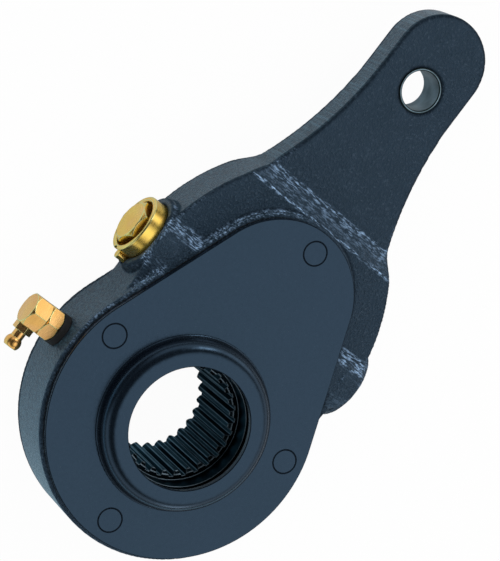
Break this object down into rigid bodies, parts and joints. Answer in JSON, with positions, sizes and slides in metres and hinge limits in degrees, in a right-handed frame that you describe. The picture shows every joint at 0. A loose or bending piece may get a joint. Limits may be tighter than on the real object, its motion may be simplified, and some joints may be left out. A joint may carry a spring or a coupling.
{
  "type": "brake slack adjuster",
  "caption": "Lever arm with a splined worm gear for a brake camshaft, turned by a hex-headed worm under a sprung lock sleeve, with a grease fitting.",
  "frame": {"origin": "on the axis of the splined bore, at the middle of the casting's thickness", "axes": "+X along the arm to the clevis pin bore, +Y to the side of the adjusting hex and the grease fitting, +Z along the splined bore out of the front cover"},
  "size_m": [0.1984, 0.1039, 0.0416],
  "materials": {
    "cast_black": "rough cast, satin black paint",
    "cover_black": "smooth satin black paint",
    "bush_steel": "dark machined steel",
    "gasket_black": "matt fibre and rubber",
    "gear_steel": "cut steel with a film of grease",
    "bearing_bronze": "machined bronze",
    "seal_rubber": "matt rubber",
    "yellow_plating": "yellow zinc plating",
    "spring_steel": "bright wire"
  },
  "bodies": {
    "body": {"housing": "cast_black", "arm_bush": "bush_steel", "front_cover": "cover_black", "rear_cover": "cover_black", "front_gasket": "gasket_black", "rear_gasket": "gasket_black", "cover_rivets": "cover_black", "front_thrust_washer": "bearing_bronze", "rear_thrust_washer": "bearing_bronze", "front_hub_seal": "seal_rubber", "rear_hub_seal": "seal_rubber", "outer_worm_bush": "bearing_bronze", "inner_worm_bush": "bearing_bronze", "worm_shaft_seal": "seal_rubber", "worm_plug": "cover_black", "lock_spring": "spring_steel", "sleeve_guide_pin": "yellow_plating", "elbow_washer": "seal_rubber", "grease_elbow": "yellow_plating", "grease_nipple": "yellow_plating", "nipple_spring": "spring_steel"},
    "gear": {"worm_gear": "gear_steel"},
    "worm_drive": {"worm": "gear_steel", "worm_shaft": "yellow_plating", "worm_drive_pin": "gear_steel"},
    "lock_collar": {"lock_sleeve": "yellow_plating"},
    "check_ball": {"nipple_ball": "spring_steel"}
  },
  "joints": [
    {"name": "worm_spin", "type": "hinge", "parent": "body", "child": "worm_drive", "pos_m": [0.03995, 0, 0], "axis": [0, 1, 0], "continuous": true},
    {"name": "gear_spin", "type": "hinge", "parent": "body", "child": "gear", "pos_m": [0, 0, 0], "axis": [0, 0, 1], "continuous": true},
    {"name": "sleeve_slide", "type": "slide", "parent": "body", "child": "lock_collar", "axis": [0, -1, 0], "range_m": [0, 0.0045], "stiffness_N_per_m": 2500, "deforming": ["lock_spring"]},
    {"name": "ball_press", "type": "slide", "parent": "body", "child": "check_ball", "axis": [1, 0, 0], "range_m": [0, 0.001], "stiffness_N_per_m": 200, "deforming": ["nipple_spring"]}
  ],
  "couplings": [
    {"joint": "gear_spin", "follows": "worm_spin", "ratio": -0.045455}
  ]
}
